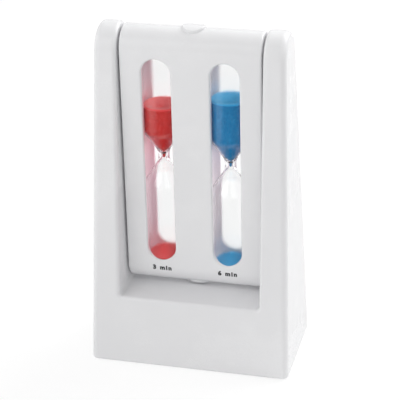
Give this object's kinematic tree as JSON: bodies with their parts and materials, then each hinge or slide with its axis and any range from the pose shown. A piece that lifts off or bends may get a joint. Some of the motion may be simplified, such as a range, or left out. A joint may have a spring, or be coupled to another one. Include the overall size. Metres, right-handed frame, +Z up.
{
  "type": "hourglass",
  "caption": "Flip-over sand timer: sand glasses in a slotted frame that turns end over end between the posts of a tapered moulded stand.",
  "frame": {"origin": "on the surface that the feet stand on, under the middle of the stand", "axes": "+X right, +Y back, +Z up; the side with the time marks faces -Y"},
  "size_m": [0.0764, 0.0426, 0.1303],
  "materials": {
    "white_plastic": "satin moulded white ABS",
    "acetal": "natural acetal, turned",
    "clear_glass": "clear drawn glass",
    "red_sand": "fine dyed red sand",
    "blue_sand": "fine dyed blue sand",
    "soft_silicone": "translucent white silicone",
    "foot_rubber": "black rubber, glued",
    "screw_steel": "zinc-plated steel"
  },
  "bodies": {
    "stand": {"stand_body": "white_plastic", "bottom_cover": "white_plastic", "cover_screws": "screw_steel", "foot_front_left": "foot_rubber", "foot_front_right": "foot_rubber", "foot_rear_left": "foot_rubber", "foot_rear_right": "foot_rubber", "bush_left": "acetal", "bush_right": "acetal"},
    "frame": {"front_shell": "white_plastic", "rear_shell": "white_plastic", "pivot_pin_left": "acetal", "pivot_pin_right": "acetal", "friction_washer_left": "soft_silicone", "friction_washer_right": "soft_silicone", "red_glass": "clear_glass", "blue_glass": "clear_glass", "red_glass_plug": "clear_glass", "blue_glass_plug": "clear_glass", "red_top_pad": "soft_silicone", "red_bottom_pad": "soft_silicone", "blue_top_pad": "soft_silicone", "blue_bottom_pad": "soft_silicone"},
    "red_upper": {"red_sand_upper": "red_sand"},
    "red_lower": {"red_sand_lower": "red_sand"},
    "blue_upper": {"blue_sand_upper": "blue_sand"},
    "blue_lower": {"blue_sand_lower": "blue_sand"}
  },
  "joints": [
    {"name": "frame_flip", "type": "hinge", "parent": "stand", "child": "frame", "pos_m": [0, 0, 0.079], "axis": [1, 0, 0], "range_deg": [0, 180]},
    {"name": "red_upper_run", "type": "slide", "parent": "frame", "child": "red_upper", "axis": [0, 0, 1], "range_m": [0, 0.017]},
    {"name": "red_lower_run", "type": "slide", "parent": "frame", "child": "red_lower", "axis": [0, 0, 1], "range_m": [0, 0.029]},
    {"name": "blue_upper_run", "type": "slide", "parent": "frame", "child": "blue_upper", "axis": [0, 0, 1], "range_m": [0, 0.013]},
    {"name": "blue_lower_run", "type": "slide", "parent": "frame", "child": "blue_lower", "axis": [0, 0, 1], "range_m": [0, 0.0295]}
  ],
  "couplings": [
    {"joint": "red_upper_run", "follows": "frame_flip", "m_per_rad": 0.005411},
    {"joint": "red_lower_run", "follows": "frame_flip", "m_per_rad": 0.00923},
    {"joint": "blue_upper_run", "follows": "frame_flip", "m_per_rad": 0.004138},
    {"joint": "blue_lower_run", "follows": "frame_flip", "m_per_rad": 0.00939}
  ]
}
